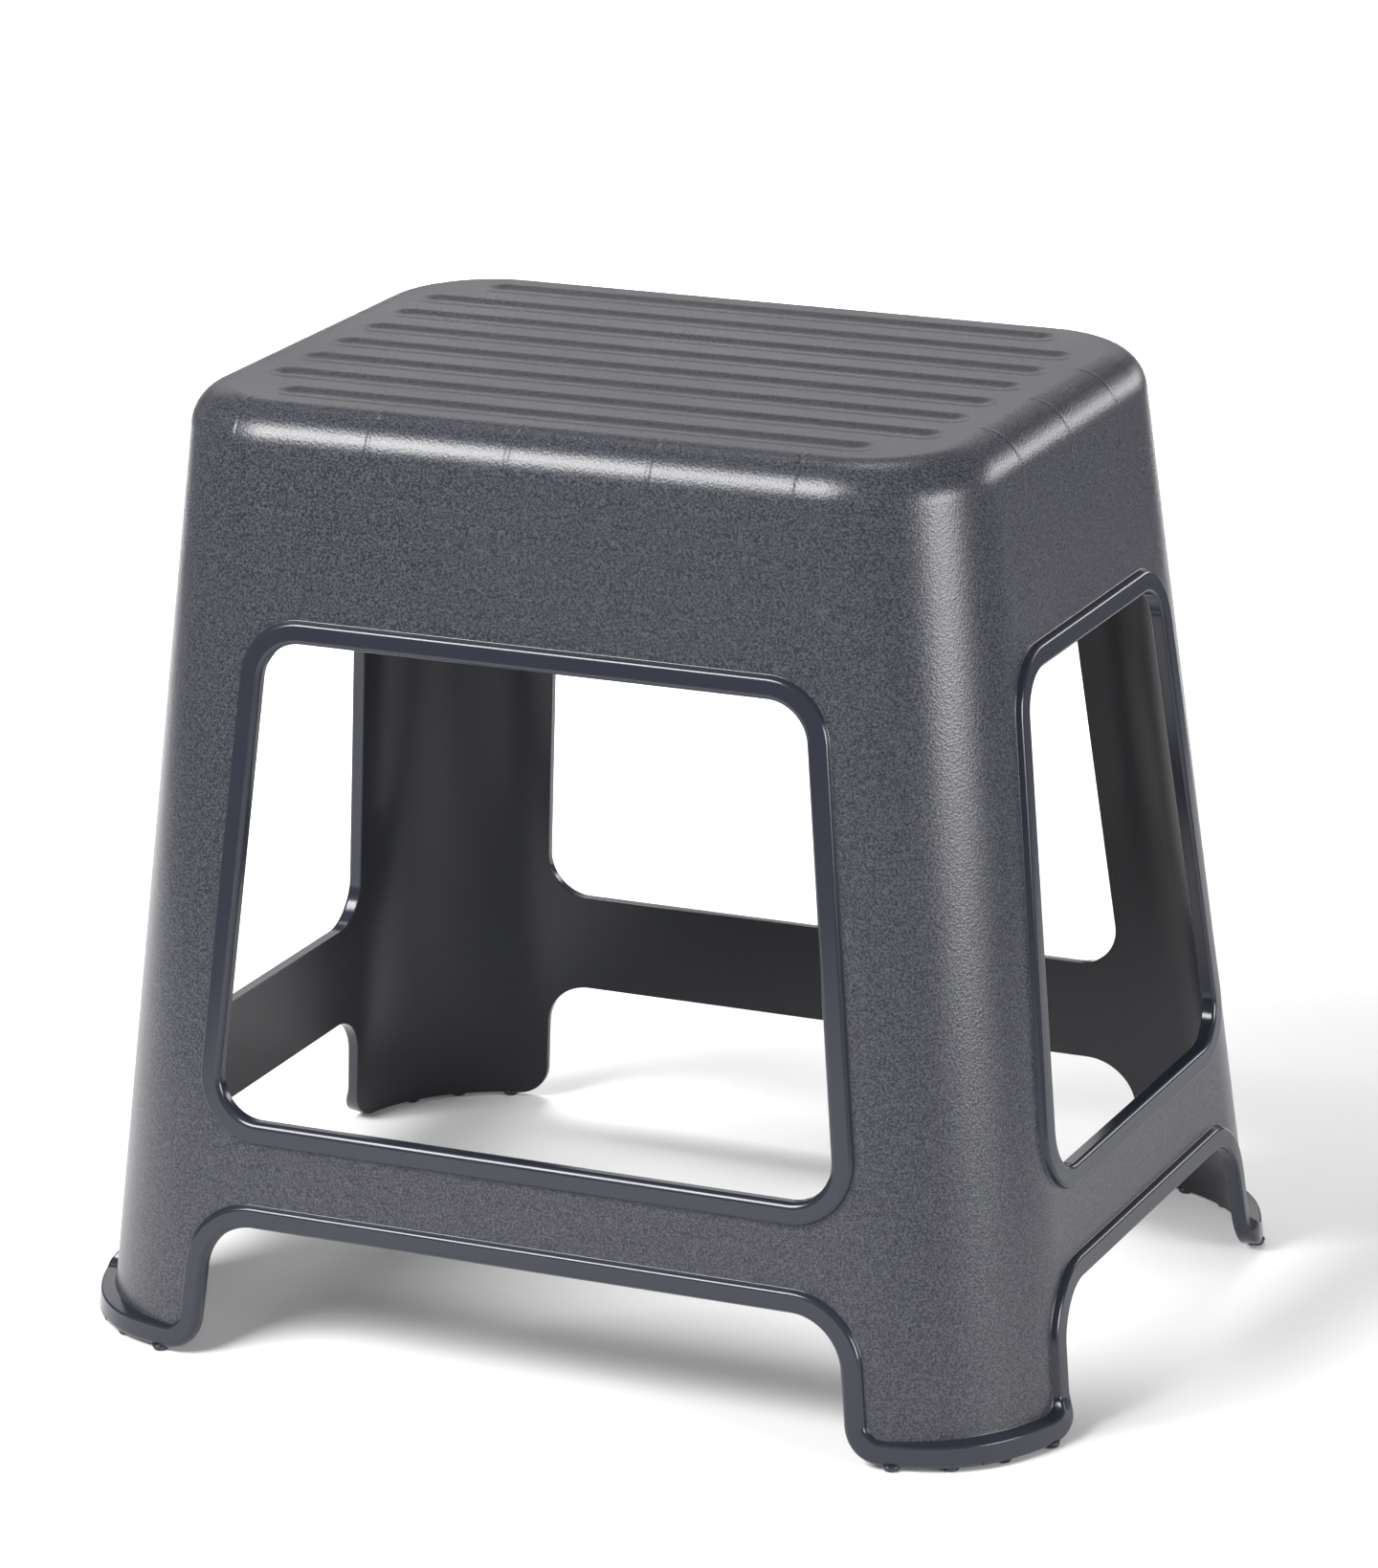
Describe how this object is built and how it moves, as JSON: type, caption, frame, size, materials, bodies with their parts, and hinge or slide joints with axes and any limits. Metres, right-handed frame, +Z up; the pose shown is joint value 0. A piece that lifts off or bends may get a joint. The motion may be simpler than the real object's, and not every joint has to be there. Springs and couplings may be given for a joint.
{
  "type": "step stool",
  "caption": "Moulded plastic step stool with a grooved tread, drafted hollow body, framed openings on each side and flared feet with grip studs.",
  "frame": {"origin": "centre of the footprint, at the floor", "axes": "+Z up to the tread, +X along the long side, front face towards -Y"},
  "size_m": [0.3984, 0.3138, 0.36],
  "materials": {
    "shell": "moulded polypropylene, dark slate grey, fine speckled grain on the panels and tread, smooth satin rims",
    "stud": "smooth dark grip elastomer"
  },
  "bodies": {
    "root": {"body": "shell", "stud_front_right_1": "stud", "stud_front_right_2": "stud", "stud_front_right_3": "stud", "stud_front_right_4": "stud", "stud_front_left_1": "stud", "stud_front_left_2": "stud", "stud_front_left_3": "stud", "stud_front_left_4": "stud", "stud_back_right_1": "stud", "stud_back_right_2": "stud", "stud_back_right_3": "stud", "stud_back_right_4": "stud", "stud_back_left_1": "stud", "stud_back_left_2": "stud", "stud_back_left_3": "stud", "stud_back_left_4": "stud"}
  },
  "joints": []
}
